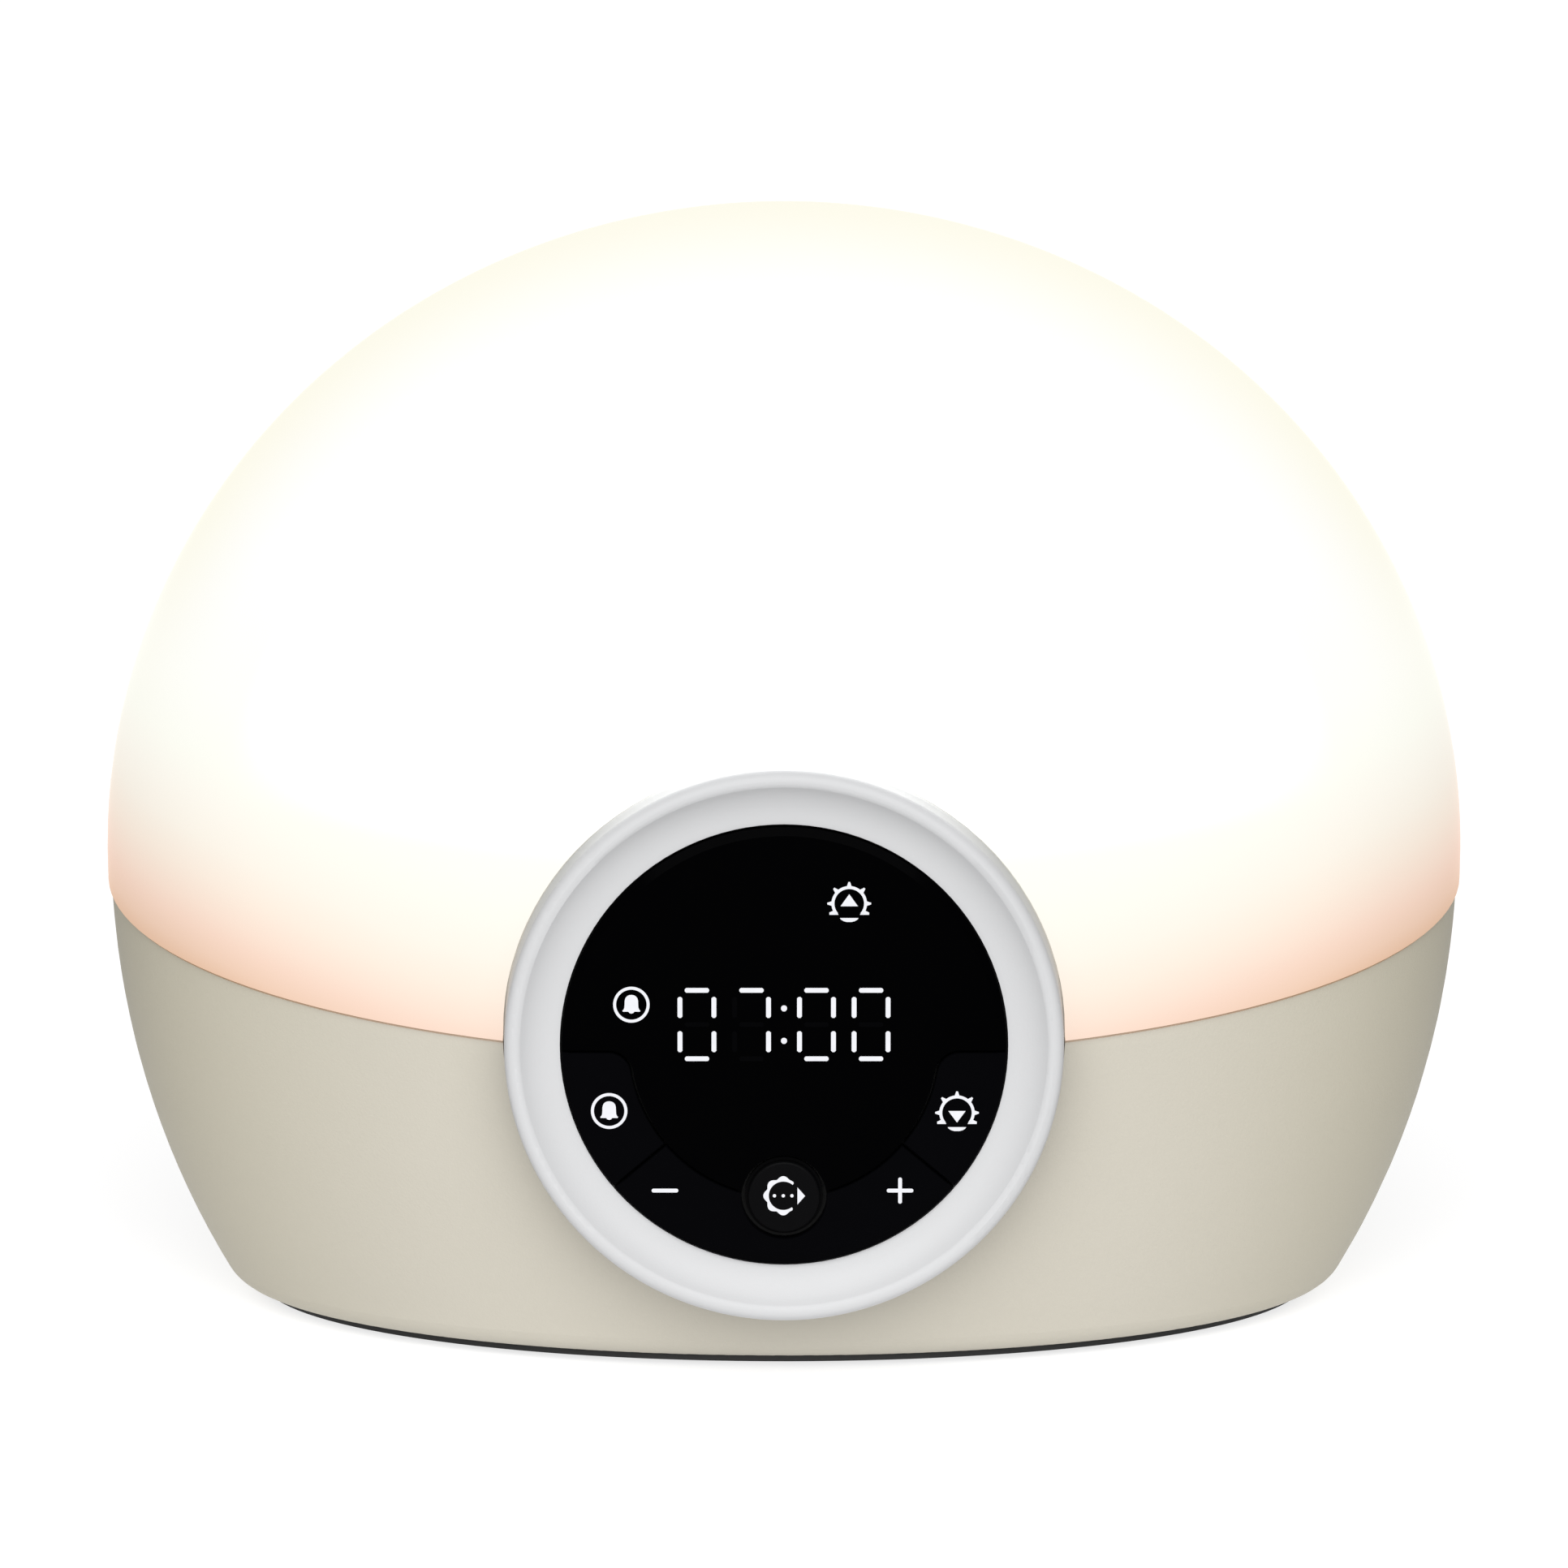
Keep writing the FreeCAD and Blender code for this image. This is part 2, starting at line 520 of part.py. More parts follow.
cell_half, cell_low, cell_high = 17.0, -4.2, 10.6
frame_block = box(-cell_half, cell_half, DISC_BACK, PCB_FRONT, PANEL_Z + cell_low, PANEL_Z + cell_high)
cells = [bar(n, x, 0.25, DISC_BACK - 1, PCB_FRONT + 1) for x in DIGIT_X for n in "abcdefg"]
for cell in cells:
    frame_block = frame_block.cut(cell)
for z in (0.85, 5.5):
    frame_block = frame_block.cut(rod_y(0.8, DISC_BACK - 1, PCB_FRONT + 1, 0, z))
save("display_reflector", frame_block)
chips = []
for x in DIGIT_X:
    for n in "abcdefg":
        c = bar(n, x).CenterOfMass
        chips.append(box(c.x - 0.3, c.x + 0.3, PCB_FRONT - 0.4, PCB_FRONT, c.z - 0.3, c.z + 0.3))
for z in (PANEL_Z + 0.85, PANEL_Z + 5.5):
    chips.append(box(-0.3, 0.3, PCB_FRONT - 0.4, PCB_FRONT, z - 0.3, z + 0.3))
save("segment_leds", *chips)
pipes_at = ((-21.57, 6.05), (9.12, 20.66))
save("indicator_light_pipes", *[rod_y(2.4, DISC_BACK, PCB_FRONT - 0.5, x, z) for x, z in pipes_at])

# Carrier plate behind the disc
carrier = rod_y(37.3, CARRIER_FRONT, CARRIER_BACK)
pad = rod_y(20.0, DISC_BACK, CARRIER_FRONT + 0.5, 0, 3.0).cut(rod_y(9.0, RING_FRONT, PCB_FRONT, 0, SNOOZE_Z))
carrier = fuse(carrier, pad)
window_half = cell_half + FIT
window_low = PANEL_Z + cell_low - FIT
window = box(-window_half, window_half, RING_FRONT, PCB_FRONT, window_low, PANEL_Z + cell_high + FIT)
carrier = carrier.cut(window)
for x, z in pipes_at:
    carrier = carrier.cut(rod_y(2.5, RING_FRONT, PCB_FRONT, x, z))
for x, z in switches_at:
    carrier = carrier.cut(rod_y(STEM_R + SLACK, RING_FRONT, PCB_FRONT, x, z))
lug_room = lug_half + SLACK
carrier = carrier.cut(box(-2.1, 2.1, RING_FRONT, PCB_FRONT, pivot_at - lug_room, pivot_at + lug_room))
carrier = carrier.cut(rod_z(PIN_R + PIN_FIT, pivot_at - 4.3, pivot_at + 3.1, 0, PIVOT_Y))
pcb_screws_at = [on_circle(33.0, a) for a in (45, 135, 225, 315)]
for x, z in pcb_screws_at:
    carrier = fuse(carrier, rod_y(2.3, CARRIER_BACK - 0.5, PCB_FRONT, x, z))
    carrier = carrier.cut(rod_y(0.95, CARRIER_BACK, PCB_FRONT + 1, x, z))
for x, z in carrier_screws_at:
    carrier = carrier.cut(rod_y(1.3, RING_FRONT, PCB_FRONT, x, z))
save("panel_carrier", carrier)
small_screw = screw(2.0, 1.2, 0.95, CARRIER_BACK - CARRIER_FRONT + 1.2)
carrier_screws = [placed(small_screw, x, CARRIER_BACK, PANEL_Z + z, (0, 1, 0)) for x, z in carrier_screws_at]
save("carrier_screws", *carrier_screws)

# Panel circuit board
panel_pcb = rod_y(36.0, PCB_FRONT, PCB_BACK)
for x, z in pcb_screws_at:
    panel_pcb = panel_pcb.cut(rod_y(1.2, PCB_FRONT - 1, PCB_BACK + 1, x, z))
save("panel_pcb", panel_pcb)
pcb_screw = screw(1.9, 1.1, 0.85, 4.5)
save("panel_pcb_screws", *[placed(pcb_screw, x, PCB_BACK, PANEL_Z + z, (0, 1, 0)) for x, z in pcb_screws_at])
save("controller_chip", box(-5, 5, PCB_BACK, PCB_BACK + 1.5, PANEL_Z + 4, PANEL_Z + 14))
save("panel_connector", box(-6, 6, PCB_BACK, PCB_BACK + 5, PANEL_Z - 22, PANEL_Z - 16))

# Light deck on the seam plane
deck_form = egg(LIP + WALL + 1.5, 5.0)
panel_way = rod_y(SHIELD_ROOM_R - FIT, -FAR, RING_BACK + 9.2)
deck = deck_form.common(above(DECK_TOP + DECK_THICK)).common(below(DECK_TOP))
deck = deck.common(inside_rim).cut(panel_way)
deck_screw_holes = [tilt(rod_z(1.5, -3, 3, x, y), DECK_TOP + DECK_THICK / 2) for x, y in deck_screws_at]
for hole in deck_screw_holes:
    deck = deck.cut(hole)
wire_slot = tilt(box(-8, 8, 30, 36, -10, 10))
deck = deck.cut(wire_slot)
save("deck_reflector", deck)
shield_form = egg(WALL + 0.5, 5.0).common(above(DECK_TOP - FIT))
shield_back = RING_BACK + 9.3 + SHIELD_WALL
shield = rod_y(SHIELD_ROOM_R + SHIELD_WALL, RING_FRONT, shield_back)
shield = shield.cut(rod_y(SHIELD_ROOM_R, RING_FRONT - 1, shield_back - SHIELD_WALL))
shield = shield.common(shield_form)
save("light_shield", shield)
deck_screw = screw(2.8, 1.6, 1.25, 10.0)
deck_screws = [tilt(placed(deck_screw, x, y, 0), DECK_TOP) for x, y in deck_screws_at]
save("deck_screws", *deck_screws)
SPREADER = (52.0, -18.0, 26.0)
spreader = tilt(box(-SPREADER[0], SPREADER[0], SPREADER[1], SPREADER[2], 0, 2.0), DECK_TOP)
save("heat_spreader", spreader)
led_board = tilt(box(-46, 46, -14, 22, 0, 1.6), DECK_TOP - 2.0)
save("led_board", led_board)
leds = []
for i in range(7):
    for j in range(3):
        x, y = -36 + 12 * i, -8 + 12 * j
        led = box(x - 1.8, x + 1.8, y - 1.4, y + 1.4, 0, 0.8)
        leds.append(tilt(led, DECK_TOP - 3.6))
save("leds", *leds)

# Power board
power_pcb = box(-52, 52, -28, 32, BOARD_Z, BOARD_Z + 1.6)
power_pcb = fuse(power_pcb, box(JACK_X - 7, JACK_X + 7, 31, RIM_Y - 3, BOARD_Z, BOARD_Z + 1.6))
for x, y in board_screws_at:
    power_pcb = power_pcb.cut(rod_z(1.5, 0, 30, x, y))
save("power_pcb", power_pcb)
BOARD_TOP = BOARD_Z + 1.6
board_screw = screw(2.6, 1.5, 1.05, 7.0)
save("power_pcb_screws", *[placed(board_screw, x, y, BOARD_TOP) for x, y in board_screws_at])
JACK_MOUTH = RIM_Y + 0.4
jack = box(JACK_X - 4.6, JACK_X + 4.6, JACK_MOUTH - 13.5, JACK_MOUTH, BOARD_TOP, JACK_Z + 5.0)
jack = jack.cut(Part.makeCylinder(JACK_BORE_R, 12, V(JACK_X, JACK_MOUTH - 9.5, JACK_Z), V(0, 1, 0)))
BORE_END = JACK_MOUTH - 9.5
jack = jack.cut(Part.makeCylinder(1.52, 3, V(JACK_X, BORE_END - 2, JACK_Z), V(0, 1, 0)))
save("dc_jack_housing", jack)
pin_root = Part.makeCylinder(1.5, 2, V(JACK_X, BORE_END - 2, JACK_Z), V(0, 1, 0))
pin = Part.makeCylinder(JACK_PIN_R, JACK_MOUTH - 0.8 - BORE_END, V(JACK_X, BORE_END, JACK_Z), V(0, 1, 0))
save("dc_jack_pin", fuse(pin_root, pin))
caps_at = ((-8, 18, 5.0, 14.0), (8, 18, 5.0, 14.0), (24, 12, 4.0, 11.0))
capacitors = []
for x, y, r, h in caps_at:
    can = rod_z(r, BOARD_TOP, BOARD_TOP + h, x, y)
    rim = [e for e in can.Edges if e.BoundBox.ZMin > BOARD_TOP + h - 0.01]
    capacitors.append(can.makeFillet(0.8, rim))
save("capacitors", *capacitors)
coil = rod_z(6.0, BOARD_TOP, BOARD_TOP + 7, 34, -8).cut(rod_z(2.4, BOARD_TOP - 1, BOARD_TOP + 9, 34, -8))
save("inductor", coil)


def on_board(x, y, half_w, half_d, height):
    """Box standing on the power board."""
    return box(x - half_w, x + half_w, y - half_d, y + half_d, BOARD_TOP, BOARD_TOP + height)


chips_at = ((-20, -8, 5, 4), (6, -4, 4, 4), (-36, 8, 3, 2.5))
save("driver_chips", *[on_board(x, y, a, b, 1.6) for x, y, a, b in chips_at])
plugs_at = ((0, -22, 6, 3), (18, 27, 4, 3), (36, 18, 3, 3))
save("wire_connectors", *[on_board(x, y, a, b, 6.0) for x, y, a, b in plugs_at])

# Speaker behind the rear slots
speaker_front = BACK_Y - WALL - FIT
frame_ring = Part.makeCylinder(SPEAKER_R, 2.0, V(SPEAKER_X, speaker_front - 2, SPEAKER_Z), V(0, 1, 0))
basket = Part.makeCone(10.0, SPEAKER_R - 1.5, 8.0, V(SPEAKER_X, speaker_front - 10, SPEAKER_Z), V(0, 1, 0))
hollow = Part.makeCone(8.5, SPEAKER_R - 3.0, 8.5, V(SPEAKER_X, speaker_front - 8.5, SPEAKER_Z), V(0, 1, 0))
speaker_frame = fuse(frame_ring, basket).cut(hollow)
save("speaker_frame", speaker_frame)
cone_out = Part.makeCone(4.0, SPEAKER_R - 4.2, 6.0, V(SPEAKER_X, speaker_front - 7.5, SPEAKER_Z), V(0, 1, 0))
cone_in = Part.makeCone(3.4, SPEAKER_R - 4.9, 6.0, V(SPEAKER_X, speaker_front - 7.0, SPEAKER_Z), V(0, 1, 0))
save("speaker_cone", cone_out.cut(cone_in))
magnet = Part.makeCylinder(9.5, 6.0, V(SPEAKER_X, speaker_front - 16, SPEAKER_Z), V(0, 1, 0))
save("speaker_magnet", magnet)

# Wiring
panel_wires = []
for i in range(6):
    x = -4.0 + 1.6 * i
    path = [(x, PCB_BACK + 5.1, PANEL_Z - 19), (x, -48, PANEL_Z - 19), (x, -34, 27), (x, -22, 24)]
    path.append((x, -22, BOARD_TOP + 6.1))
    panel_wires.append(wire_run(path, 0.55))
save("panel_wires", *panel_wires)
led_wires = []
for i in range(2):
    x = 17.0 + 2.0 * i
    rise = [(x, 27, BOARD_TOP + 6.1), (x, 27, 25), (x - 3, 31, 40)]
    over = [(x * 0.4, 33, 55), (x * 0.25, 33, 66), (x * 0.25, 25, 69.5), (x * 0.25, 20, 67.4)]
    path = rise + over
    led_wires.append(wire_run(path, 0.7))
save("led_wires", *led_wires)
speaker_wires = []
for i in range(2):
    x = 35.0 + 2.0 * i
    path = [(x, 18, BOARD_TOP + 6.1), (x, 18, 25), (x - 6, 22, SPEAKER_Z)]
    path.append((x - 6, speaker_front - 16.1, SPEAKER_Z))
    speaker_wires.append(wire_run(path, 0.6))
save("speaker_wires", *speaker_wires)
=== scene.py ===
# %% [markdown]
# A wake-up lamp with a clock on its front: an egg-shaped opal dome that glows, a satin base under it,
# a dished bezel, and a black disc with the time and the keys.
# The solids come ready made and sit in metres with +Z up. This lesson gives them their finishes,
# draws the marks on the black disc, and lights the lamp the way a plain studio would.

# %% Load the solids
import bpy
import bmesh
import math
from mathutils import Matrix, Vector


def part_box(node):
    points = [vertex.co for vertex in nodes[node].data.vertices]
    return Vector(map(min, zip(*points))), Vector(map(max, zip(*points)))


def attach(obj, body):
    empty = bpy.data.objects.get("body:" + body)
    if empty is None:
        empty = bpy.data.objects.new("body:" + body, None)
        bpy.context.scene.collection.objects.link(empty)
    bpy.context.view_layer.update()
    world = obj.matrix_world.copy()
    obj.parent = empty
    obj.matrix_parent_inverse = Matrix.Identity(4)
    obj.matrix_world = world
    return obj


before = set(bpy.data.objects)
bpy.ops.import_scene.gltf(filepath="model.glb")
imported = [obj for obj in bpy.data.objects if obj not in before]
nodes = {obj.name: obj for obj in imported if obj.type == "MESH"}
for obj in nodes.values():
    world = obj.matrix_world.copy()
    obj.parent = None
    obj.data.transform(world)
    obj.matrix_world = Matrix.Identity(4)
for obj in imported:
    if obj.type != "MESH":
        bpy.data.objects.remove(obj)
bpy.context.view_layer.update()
scene = bpy.context.scene

# %% [markdown]
# Every finish below is a small network of nodes. Wiring nodes by hand is slow to read, so a socket is
# wrapped in a class that knows + - * / and abs, and each sign adds the Math node that does the sum.

# %% Sums on sockets
class Flow:
    """The output of a node, usable in sums."""

    def __init__(self, finish, socket):
        self.finish = finish
        self.socket = socket

    def sum_with(self, operation, *others):
        inputs = dict(enumerate((self,) + others))
        return self.finish.node("ShaderNodeMath", dict(operation=operation), inputs)

    def __add__(self, other):
        return self.sum_with("ADD", other)

    def __sub__(self, other):
        return self.sum_with("SUBTRACT", other)

    def __rsub__(self, other):
        return self.finish.node("ShaderNodeMath", dict(operation="SUBTRACT"), {0: other, 1: self})

    def __mul__(self, other):
        return self.sum_with("MULTIPLY", other)

    def __truediv__(self, other):
        return self.sum_with("DIVIDE", other)

    def __abs__(self):
        return self.sum_with("ABSOLUTE")

    __radd__ = __add__
    __rmul__ = __mul__

    def ramp01(self, low, high):
        """0 below low, 1 above high, soft between them."""
        settings = dict(interpolation_type="SMOOTHSTEP")
        inputs = {"Value": self, "From Min": low, "From Max": high}
        return self.finish.node("ShaderNodeMapRange", settings, inputs)

    def colours(self, stops):
        """Colour along this value, which runs from 0 to 1."""
        return self.finish.node("ShaderNodeValToRGB", {"stops": stops}, {"Fac": self})

# %% [markdown]
# A finish is one material: a Principled shader, and the nodes that feed it. A second class keeps them
# together, so that a piece's finish reads as a few lines: a grain, a mix of two colours, a bump.
# Every pattern reads Object coordinates, which are metres in the lamp's own frame, so it stays on the
# piece when the piece moves.

# %% One finish
class Finish:
    """One material: a Principled shader and the nodes that feed it."""

    def __init__(self, name, **constants):
        self.material = bpy.data.materials.new(name)
        self.material.use_nodes = True
        self.tree = self.material.node_tree
        self.tree.nodes.clear()
        end = self.tree.nodes.new("ShaderNodeOutputMaterial")
        self.shader = self.tree.nodes.new("ShaderNodeBsdfPrincipled")
        self.tree.links.new(self.shader.outputs[0], end.inputs["Surface"])
        for key, value in constants.items():
            self.shader.inputs[key.replace("_", " ")].default_value = value

    def node(self, kind, settings=None, inputs=None, output=0):
        """Any node: its settings first, then the values or links of its sockets."""
        made = self.tree.nodes.new(kind)
        for key, value in (settings or {}).items():
            if key == "stops":
                while len(made.color_ramp.elements) < len(value):
                    made.color_ramp.elements.new(0.5)
                for element, (position, colour) in zip(made.color_ramp.elements, value):
                    element.position = position
                    element.color = (*colour, 1)
            else:
                setattr(made, key, value)
        for key, value in (inputs or {}).items():
            if isinstance(value, Flow):
                self.tree.links.new(value.socket, made.inputs[key])
            else:
                made.inputs[key].default_value = value
        return Flow(self, made.outputs[output])

    def feed(self, name, flow):
        """Link a flow to one socket of the shader."""
        self.tree.links.new(flow.socket, self.shader.inputs[name])

    def place(self):
        """The point in the lamp's own frame, in metres."""
        return self.node("ShaderNodeTexCoord", output="Object")

    def xyz(self):
        parts = self.node("ShaderNodeSeparateXYZ", inputs={0: self.place()})
        return [Flow(self, output) for output in parts.socket.node.outputs]

    def grain(self, scale, detail=2.0, rough=0.5):
        """Noise from 0 to 1, scale in features per metre."""
        inputs = {"Vector": self.place(), "Scale": scale, "Detail": detail, "Roughness": rough}
        return self.node("ShaderNodeTexNoise", inputs=inputs)

    def mix(self, share, first, second):
        """Colour between first and second."""
        first, second = [c if isinstance(c, Flow) else (*c, 1) for c in (first, second)]
        inputs = {0: share, 6: first, 7: second}
        return self.node("ShaderNodeMix", dict(data_type="RGBA"), inputs, output=2)

    def bump(self, height, depth):
        """Raise the surface by height, which runs from 0 to 1, times depth in metres."""
        inputs = {"Height": height, "Distance": depth, "Strength": 1.0}
        self.feed("Normal", self.node("ShaderNodeBump", inputs=inputs))

# %% [markdown]
# A colour picked on a screen is not the light that a shader works with: screens store it bent, so
# that dark shades get more steps. One helper bends it back. Another gives a finish to the solids that
# wear it, and keeps their names, so that at the end none is left out.

# %% Colours, and putting a finish on
BLACK = (0.0, 0.0, 0.0)
finished = []


def srgb(r, g, b):
    """A colour picked as 0 to 255 screen values, turned to the linear light that shaders use."""
    shares = [value / 255 for value in (r, g, b)]
    return tuple(v / 12.92 if v <= 0.04045 else ((v + 0.055) / 1.055) ** 2.4 for v in shares)


def grey(value):
    return (value, value, value)


def wear(finish, *names):
    """Give solids a finish."""
    for name in names:
        solid = nodes[name]
        solid.data.materials.clear()
        solid.data.materials.append(finish.material)
    finished.extend(names)
    print(finish.material.name, "->", ", ".join(names))


print("middle grey on screen, in linear light:", [round(v, 3) for v in srgb(128, 128, 128)])

# %% [markdown]
# The dome is opal plastic, lit from inside. Where the wall is near the lamps it burns out to white;
# near the seam the light comes through more plastic and turns peach, and it stays a pale yellow
# round the outline. Real light inside a real wall would be slow and full of noise, so the dome gets a
# glow that depends on the place on it, which shows the same from every side.

# %% How high over the seam
SEAM_Z = 0.06273
SEAM_SLOPE = 0.2144
EGG_Y = 0.01175
EGG_HALF_WIDTH = 0.100
EGG_CENTRE_Z = 0.0666
EGG_HALF_HEIGHT = 0.0953
LAMP_GAIN = 5.0
GLOW_REACH = 0.080
MIDDLE_LIFT = 0.008

opal = Finish("opal_dome", Roughness=0.32, Specular_IOR_Level=0.02, Emission_Strength=LAMP_GAIN)
dome_x, dome_y, dome_z = opal.xyz()
over_seam = dome_z - SEAM_Z - (dome_y - EGG_Y) * SEAM_SLOPE
sideways = abs(dome_x)
toward_middle = 1 - sideways.ramp01(0.036, 0.090)
climb = (over_seam + toward_middle * MIDDLE_LIFT) / GLOW_REACH
print("the glow climbs from the seam over", GLOW_REACH * 1000, "mm")

# %% [markdown]
# The colours of the glow are picked as they look in the end. Room light falls on the opal too, so its
# share comes off first, and what is left is what the wall has to give by itself.

# %% The colours of the glow
OPAL_TINT = (0.100, 0.092, 0.080)
ROOM_SHARE = 1.15


def through_wall(r, g, b):
    """The glow that gives this screen colour once the room light on the opal is added."""
    return tuple(max(wanted - ROOM_SHARE * tint, 0.0) for wanted, tint in zip(srgb(r, g, b), OPAL_TINT))


glow_stops = [
    (0.000, through_wall(233, 194, 165)),
    (0.038, through_wall(242, 208, 185)),
    (0.083, through_wall(249, 218, 199)),
    (0.125, through_wall(252, 228, 211)),
    (0.181, through_wall(253, 238, 223)),
    (0.250, through_wall(253, 246, 234)),
    (0.313, through_wall(254, 250, 240)),
    (0.388, through_wall(254, 254, 245)),
    (0.500, through_wall(255, 255, 250)),
    (0.750, through_wall(255, 255, 255)),
]
print("colours from the seam up:", len(glow_stops))

# %% [markdown]
# Seen from the front, the egg's outline is an ellipse, and the distance from its axis tells how near
# the outline a point is. The middle of the dome is brighter than a screen can show. That costs nothing
# in the picture, which is white there anyway, but it lights the top of the bezel from behind, as the
# real lamp does. The rest of the dome is dimmed back to the colours above.

# %% The glowing dome
half_widths = dome_x / EGG_HALF_WIDTH
half_heights = (dome_z - EGG_CENTRE_Z) / EGG_HALF_HEIGHT
from_axis = half_widths * half_widths + half_heights * half_heights
outline = from_axis.ramp01(0.78, 1.04)
glow = climb.colours(glow_stops)
glow = opal.mix(outline * over_seam.ramp01(0.02, 0.06), glow, through_wall(255, 252, 236))
dome_flank = sideways.ramp01(0.072, 0.100) * (1 - over_seam.ramp01(0.010, 0.040))
glow = opal.mix(dome_flank * 0.10, glow, BLACK)
core = over_seam.ramp01(0.026, 0.056) * (1 - from_axis.ramp01(0.30, 0.70))
dimming = (1 - core) * (1 - 1 / LAMP_GAIN)
opal.feed("Emission Color", opal.mix(dimming, glow, BLACK))
darker_opal, lighter_opal = [tuple(c * share for c in OPAL_TINT) for share in (0.94, 1.06)]
opal.feed("Base Color", opal.mix(opal.grain(38.0, detail=3.0), darker_opal, lighter_opal))
opal.bump(opal.grain(2600.0, detail=1.0), depth=0.000015)
wear(opal, "dome_diffuser")

# %% [markdown]
# The base is moulded in a satin beige. A mould leaves a fine, even spark texture, so the roughness and
# the surface both carry a grain a few tenths of a millimetre wide, and the colour drifts a little.
# Toward the flanks the colour turns a touch darker and warmer: this is painted shade, for the light that
# only grazes the flanks.

# %% The satin base
beige = Finish("base_plastic", Specular_IOR_Level=0.06)
spark = beige.grain(2400.0, detail=3.0, rough=0.6)
drift = beige.grain(22.0)
tone = beige.mix(drift, (0.425, 0.401, 0.345), (0.448, 0.424, 0.367))
# Painted shade: the flanks get a darker, warmer colour, as grazing light gives them.
painted_flank_shade = abs(beige.xyz()[0]).ramp01(0.045, 0.100)
tone = beige.mix(painted_flank_shade * 0.6, tone, (0.425, 0.394, 0.298))
beige.feed("Base Color", beige.mix(spark * 0.10, tone, (0.34, 0.32, 0.26)))
beige.feed("Roughness", spark * 0.12 + 0.42)
beige.bump(spark, depth=0.00004)
wear(beige, "base_shell", "rear_cover")

# %% [markdown]
# A soft strip lies in the seam between dome and base. Light from the dome runs along it, so it is a peach
# line; its weak glow is painted light, as the strip is no lamp.

# %% The strip in the seam
gasket = Finish("gasket", Roughness=0.5, Emission_Strength=0.6)
gasket.feed("Base Color", gasket.mix(gasket.grain(60.0), srgb(236, 196, 160), srgb(242, 206, 172)))
# Painted light: this glow stands in for the dome's light along the seam.
gasket.feed("Emission Color", gasket.mix(gasket.grain(45.0), srgb(236, 190, 150), srgb(240, 204, 168)))
wear(gasket, "seam_gasket_strips")

# %% [markdown]
# The bezel is a cool light grey, smoother than the base. Its dish catches the light in a soft band.

# %% The bezel
bezel = Finish("bezel_plastic", Specular_IOR_Level=0.12)
fine = bezel.grain(3200.0)
bezel.feed("Base Color", bezel.mix(bezel.grain(30.0), (0.424, 0.426, 0.432), (0.448, 0.450, 0.456)))
bezel.feed("Roughness", fine * 0.08 + 0.30)
bezel.bump(fine, depth=0.00001)
wear(bezel, "bezel_ring")

# %% [markdown]
# The disc is black acrylic. Polished plastic is never quite even: faint wipe marks change the
# roughness, and the key caps are a shade less deep than the lens because they are moulded, not
# polished. So there are several blacks here, each with its own gloss.

# %% The black disc
def black_gloss(name, colour, rough, gloss):
    finish = Finish(name, Specular_IOR_Level=gloss)
    smear = finish.grain(90.0, detail=4.0, rough=0.6)
    finish.feed("Base Color", finish.mix(smear, colour, tuple(c * 1.35 for c in colour)))
    finish.feed("Roughness", smear * 0.10 + rough)
    finish.bump(finish.grain(1500.0), depth=0.000004)
    return finish


wear(black_gloss("black_lens", (0.0004, 0.0004, 0.0005), 0.10, 0.004), "display_lens")
wear(black_gloss("black_keys", (0.0008, 0.0008, 0.0011), 0.22, 0.010),
     "alarm_key", "light_key", "minus_plus_rocker")
wear(black_gloss("black_button", (0.0016, 0.0016, 0.0018), 0.30, 0.020), "snooze_button")
wear(black_gloss("digit_dark", (0.0008, 0.0008, 0.0010), 0.15, 0.008), "digit_segments_dark")
wear(black_gloss("carrier_black", grey(0.004), 0.50, 0.2), "panel_carrier")

# %% [markdown]
# The lit segments and the marks glow just under full white, so that their edges stay crisp against
# the black. A slow grain keeps them from being one flat colour.

# %% The white light of digits and marks
lit = Finish("digit_white", Roughness=0.5, Specular_IOR_Level=0.1, Emission_Strength=1.0)
flicker = lit.grain(700.0)
lit.feed("Base Color", lit.mix(flicker, (0.04, 0.04, 0.042), (0.06, 0.06, 0.062)))
lit.feed("Emission Color", lit.mix(flicker, srgb(228, 230, 236), srgb(242, 242, 246)))
wear(lit, "digit_segments_lit", "colon_dots")

# %% [markdown]
# The hidden pieces show through slots and when the clock is opened, so they get honest finishes too:
# moulded plastics, rubber, solder mask, and the sheath of the wires.

# %% Moulded pieces in the dark colours
def moulded(name, dark, light, rough, depth=0.00002, scale=1800.0, **constants):
    finish = Finish(name, **constants)
    speck = finish.grain(scale, detail=3.0, rough=0.6)
    finish.feed("Base Color", finish.mix(speck, dark, light))
    finish.feed("Roughness", speck * 0.15 + rough)
    finish.bump(speck, depth)
    return finish


wear(moulded("black_base", grey(0.008), grey(0.016), 0.5, Specular_IOR_Level=0.25), "bottom_plate")
wear(moulded("foot_rubber", grey(0.018), grey(0.034), 0.75), "rubber_feet")
wear(moulded("switch_black", grey(0.02), grey(0.035), 0.45),
     "tact_switch_bodies", "dc_jack_housing", "alarm_switch_plunger", "light_switch_plunger",
     "snooze_switch_plunger", "rocker_switch_plungers")

# %% Reflectors, boards and connectors
wear(moulded("white_reflector", (0.84, 0.84, 0.82), (0.90, 0.90, 0.88), 0.5),
     "deck_reflector", "display_reflector")
# The light shield gets a painted glow: it is no lamp, and the glow stands in for the dome's light on it,
# so the gap round the bezel shows light.
shield = moulded("lit_reflector", (0.84, 0.84, 0.82), (0.90, 0.90, 0.88), 0.5, Emission_Strength=0.9)
shield.feed("Emission Color", shield.mix(shield.grain(60.0), srgb(255, 244, 222), srgb(255, 248, 232)))
wear(shield, "light_shield")
wear(moulded("led_board_white", grey(0.85), (0.92, 0.92, 0.91), 0.35), "led_board")
wear(moulded("connector_white", (0.78, 0.77, 0.72), (0.86, 0.85, 0.80), 0.4),
     "panel_connector", "wire_connectors")
wear(moulded("chip_black", (0.02, 0.02, 0.022), (0.04, 0.04, 0.042), 0.55),
     "controller_chip", "driver_chips")

